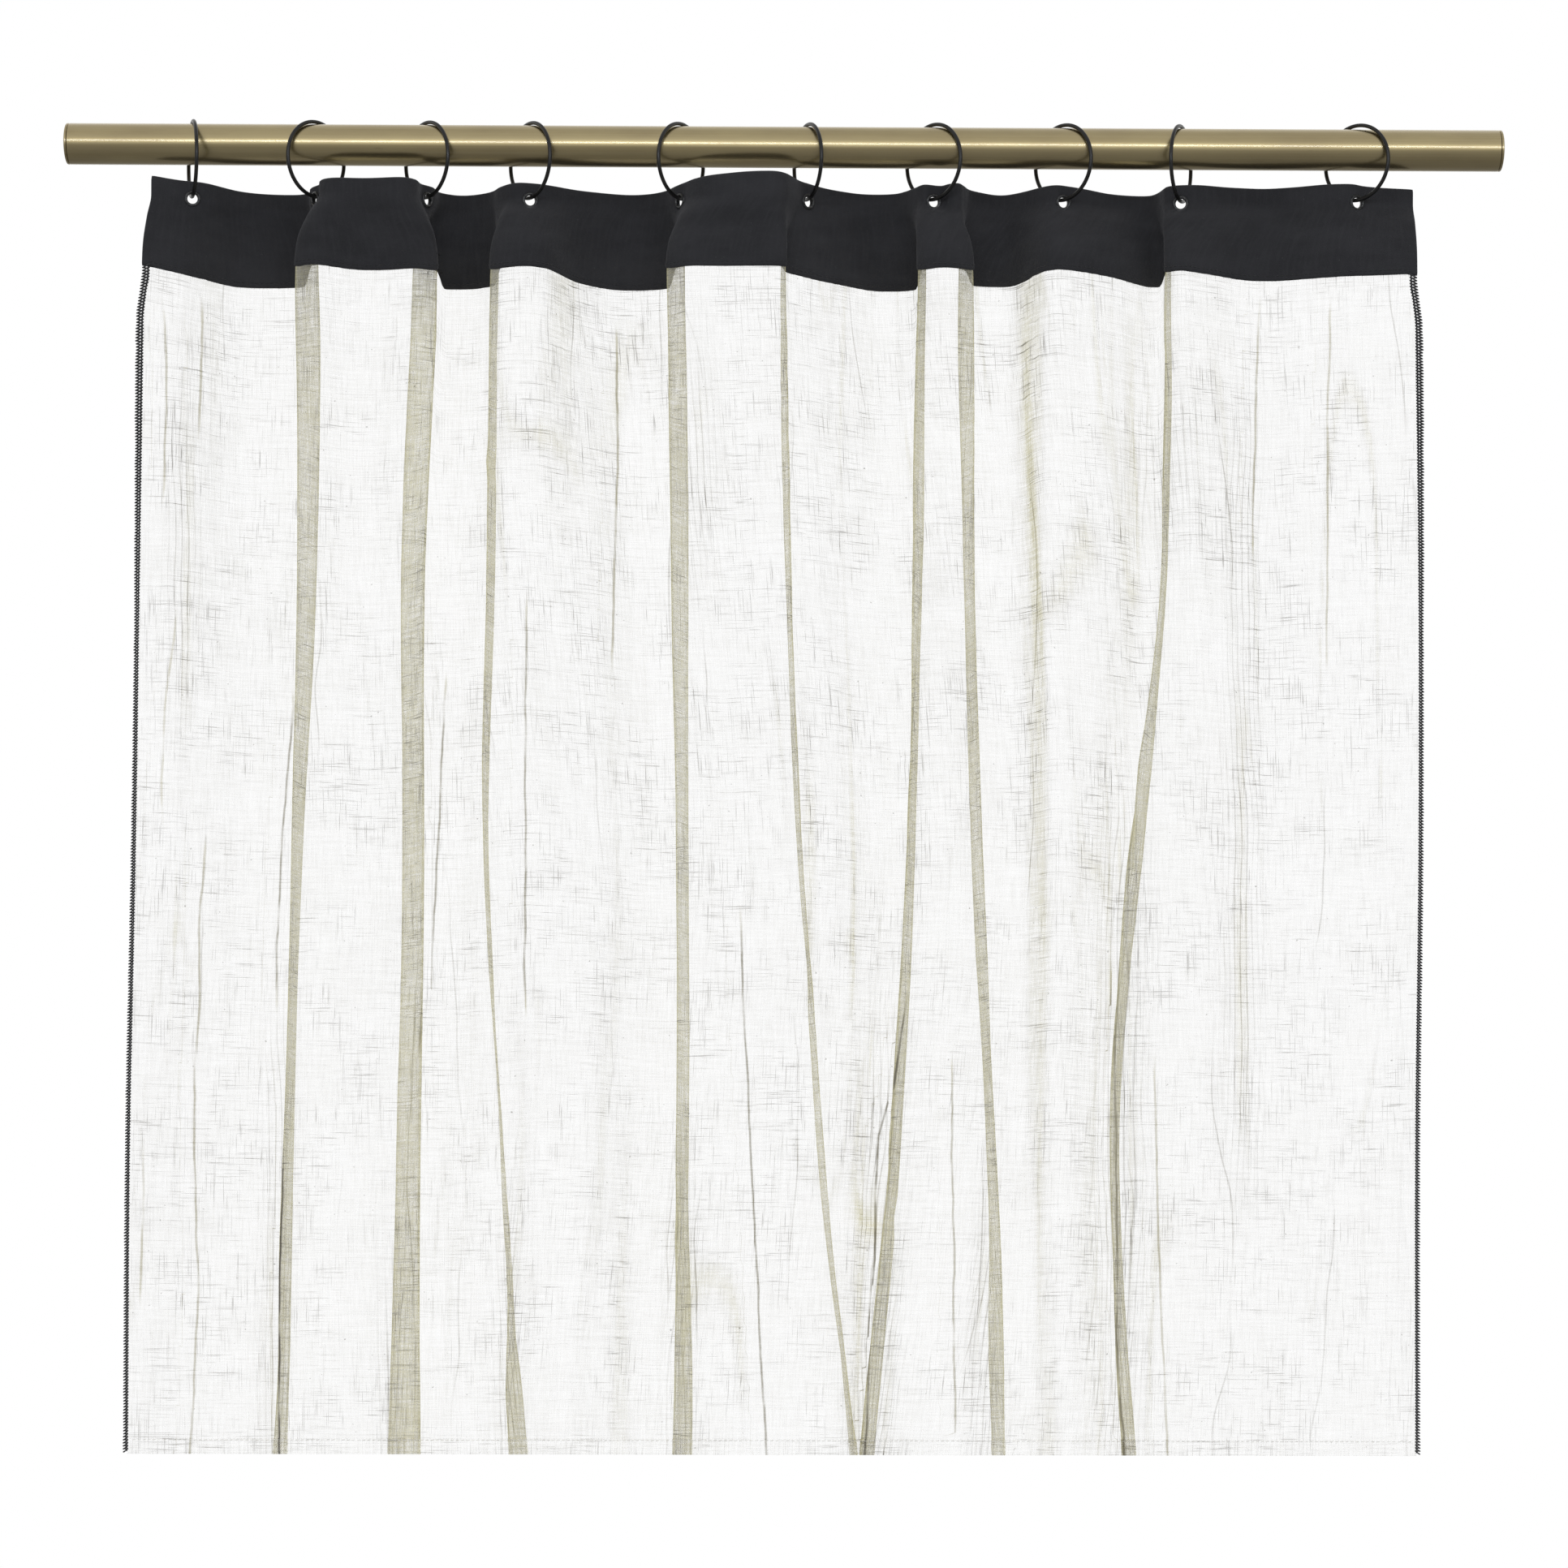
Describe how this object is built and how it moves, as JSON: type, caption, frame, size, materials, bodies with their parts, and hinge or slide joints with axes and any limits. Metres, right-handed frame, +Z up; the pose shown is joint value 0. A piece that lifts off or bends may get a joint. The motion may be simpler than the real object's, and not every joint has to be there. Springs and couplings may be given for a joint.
{
  "type": "curtain panel on a rod",
  "caption": "Gathered sheer linen curtain panel with a dark header band and metal eyelets, hung by wire rings from a round brass rod.",
  "frame": {"origin": "the middle of the rod's axis, where wall brackets carry the rod", "axes": "+X along the rod to the viewer's right, +Y to the back of the panel, +Z up"},
  "size_m": [0.8906, 0.0514, 0.8265],
  "materials": {
    "rod_brass": "antique brass, satin, brushed along its length",
    "plug_brass": "antique brass, satin, turned",
    "ring_wire": "blackened wire, semi-gloss",
    "eyelet_metal": "black nickel, semi-gloss",
    "header_velvet": "black cotton velvet, matt with a soft sheen",
    "sheer_linen": "open plain-weave natural linen gauze, slubbed and see-through",
    "hem_linen": "turned linen gauze hem, three layers",
    "overlock_thread": "charcoal overlock thread"
  },
  "bodies": {
    "rod": {"rod_tube": "rod_brass", "end_plug_left": "plug_brass", "end_plug_right": "plug_brass"},
    "panel": {"header_band": "header_velvet", "sheer_panel": "sheer_linen", "bottom_hem": "hem_linen", "left_edge_overlock": "overlock_thread", "right_edge_overlock": "overlock_thread", "eyelet_10": "eyelet_metal", "washer_10": "eyelet_metal"},
    "eyelet_set_01": {"eyelet_01": "eyelet_metal", "washer_01": "eyelet_metal"},
    "eyelet_set_02": {"eyelet_02": "eyelet_metal", "washer_02": "eyelet_metal"},
    "eyelet_set_03": {"eyelet_03": "eyelet_metal", "washer_03": "eyelet_metal"},
    "eyelet_set_04": {"eyelet_04": "eyelet_metal", "washer_04": "eyelet_metal"},
    "eyelet_set_05": {"eyelet_05": "eyelet_metal", "washer_05": "eyelet_metal"},
    "eyelet_set_06": {"eyelet_06": "eyelet_metal", "washer_06": "eyelet_metal"},
    "eyelet_set_07": {"eyelet_07": "eyelet_metal", "washer_07": "eyelet_metal"},
    "eyelet_set_08": {"eyelet_08": "eyelet_metal", "washer_08": "eyelet_metal"},
    "eyelet_set_09": {"eyelet_09": "eyelet_metal", "washer_09": "eyelet_metal"},
    "ring_01": {"ring_01": "ring_wire"},
    "ring_02": {"ring_02": "ring_wire"},
    "ring_03": {"ring_03": "ring_wire"},
    "ring_04": {"ring_04": "ring_wire"},
    "ring_05": {"ring_05": "ring_wire"},
    "ring_06": {"ring_06": "ring_wire"},
    "ring_07": {"ring_07": "ring_wire"},
    "ring_08": {"ring_08": "ring_wire"},
    "ring_09": {"ring_09": "ring_wire"},
    "ring_10": {"ring_10": "ring_wire"}
  },
  "joints": [
    {"name": "curtain_slide", "type": "slide", "parent": "rod", "child": "panel", "axis": [1, 0, 0], "range_m": [-0.05, 0.05]},
    {"name": "draw", "type": "slide", "parent": "panel", "child": "eyelet_set_01", "axis": [1, 0, 0], "range_m": [0, 0.32], "deforming": ["header_band", "sheer_panel", "bottom_hem", "left_edge_overlock", "right_edge_overlock"]},
    {"name": "draw_02", "type": "slide", "parent": "panel", "child": "eyelet_set_02", "axis": [1, 0, 0], "range_m": [0, 0.28606]},
    {"name": "draw_03", "type": "slide", "parent": "panel", "child": "eyelet_set_03", "axis": [1, 0, 0], "range_m": [0, 0.25565]},
    {"name": "draw_04", "type": "slide", "parent": "panel", "child": "eyelet_set_04", "axis": [1, 0, 0], "range_m": [0, 0.22722]},
    {"name": "draw_05", "type": "slide", "parent": "panel", "child": "eyelet_set_05", "axis": [1, 0, 0], "range_m": [0, 0.18577]},
    {"name": "draw_06", "type": "slide", "parent": "panel", "child": "eyelet_set_06", "axis": [1, 0, 0], "range_m": [0, 0.15093]},
    {"name": "draw_07", "type": "slide", "parent": "panel", "child": "eyelet_set_07", "axis": [1, 0, 0], "range_m": [0, 0.11633]},
    {"name": "draw_08", "type": "slide", "parent": "panel", "child": "eyelet_set_08", "axis": [1, 0, 0], "range_m": [0, 0.08073]},
    {"name": "draw_09", "type": "slide", "parent": "panel", "child": "eyelet_set_09", "axis": [1, 0, 0], "range_m": [0, 0.04835]},
    {"name": "ring_01_swivel", "type": "hinge", "parent": "eyelet_set_01", "child": "ring_01", "pos_m": [-0.36746, 0, -0.009], "axis": [0, 0, 1], "range_deg": [-28, 22]},
    {"name": "ring_02_swivel", "type": "hinge", "parent": "eyelet_set_02", "child": "ring_02", "pos_m": [-0.29073, 0, -0.009], "axis": [0, 0, 1], "range_deg": [0, 9]},
    {"name": "ring_03_swivel", "type": "hinge", "parent": "eyelet_set_03", "child": "ring_03", "pos_m": [-0.22198, 0, -0.009], "axis": [0, 0, 1], "range_deg": [-9, 0]},
    {"name": "ring_04_swivel", "type": "hinge", "parent": "eyelet_set_04", "child": "ring_04", "pos_m": [-0.1577, 0, -0.009], "axis": [0, 0, 1], "range_deg": [-45, 2]},
    {"name": "ring_05_swivel", "type": "hinge", "parent": "eyelet_set_05", "child": "ring_05", "pos_m": [-0.06397, 0, -0.009], "axis": [0, 0, 1], "range_deg": [-3, 6]},
    {"name": "ring_06_swivel", "type": "hinge", "parent": "eyelet_set_06", "child": "ring_06", "pos_m": [0.0148, 0, -0.009], "axis": [0, 0, 1], "range_deg": [-5, 16]},
    {"name": "ring_07_swivel", "type": "hinge", "parent": "eyelet_set_07", "child": "ring_07", "pos_m": [0.09302, 0, -0.009], "axis": [0, 0, 1], "range_deg": [-50, 0]},
    {"name": "ring_08_swivel", "type": "hinge", "parent": "eyelet_set_08", "child": "ring_08", "pos_m": [0.17351, 0, -0.009], "axis": [0, 0, 1], "range_deg": [-50, 0]},
    {"name": "ring_09_swivel", "type": "hinge", "parent": "eyelet_set_09", "child": "ring_09", "pos_m": [0.24672, 0, -0.009], "axis": [0, 0, 1], "range_deg": [-12, 40]},
    {"name": "ring_10_swivel", "type": "hinge", "parent": "panel", "child": "ring_10", "pos_m": [0.35603, 0, -0.009], "axis": [0, 0, 1], "range_deg": [-50, 0]}
  ],
  "couplings": [
    {"joint": "draw_02", "follows": "draw", "ratio": 0.89394},
    {"joint": "draw_03", "follows": "draw", "ratio": 0.79892},
    {"joint": "draw_04", "follows": "draw", "ratio": 0.71006},
    {"joint": "draw_05", "follows": "draw", "ratio": 0.58052},
    {"joint": "draw_06", "follows": "draw", "ratio": 0.47164},
    {"joint": "draw_07", "follows": "draw", "ratio": 0.36353},
    {"joint": "draw_08", "follows": "draw", "ratio": 0.25227},
    {"joint": "draw_09", "follows": "draw", "ratio": 0.15108}
  ]
}
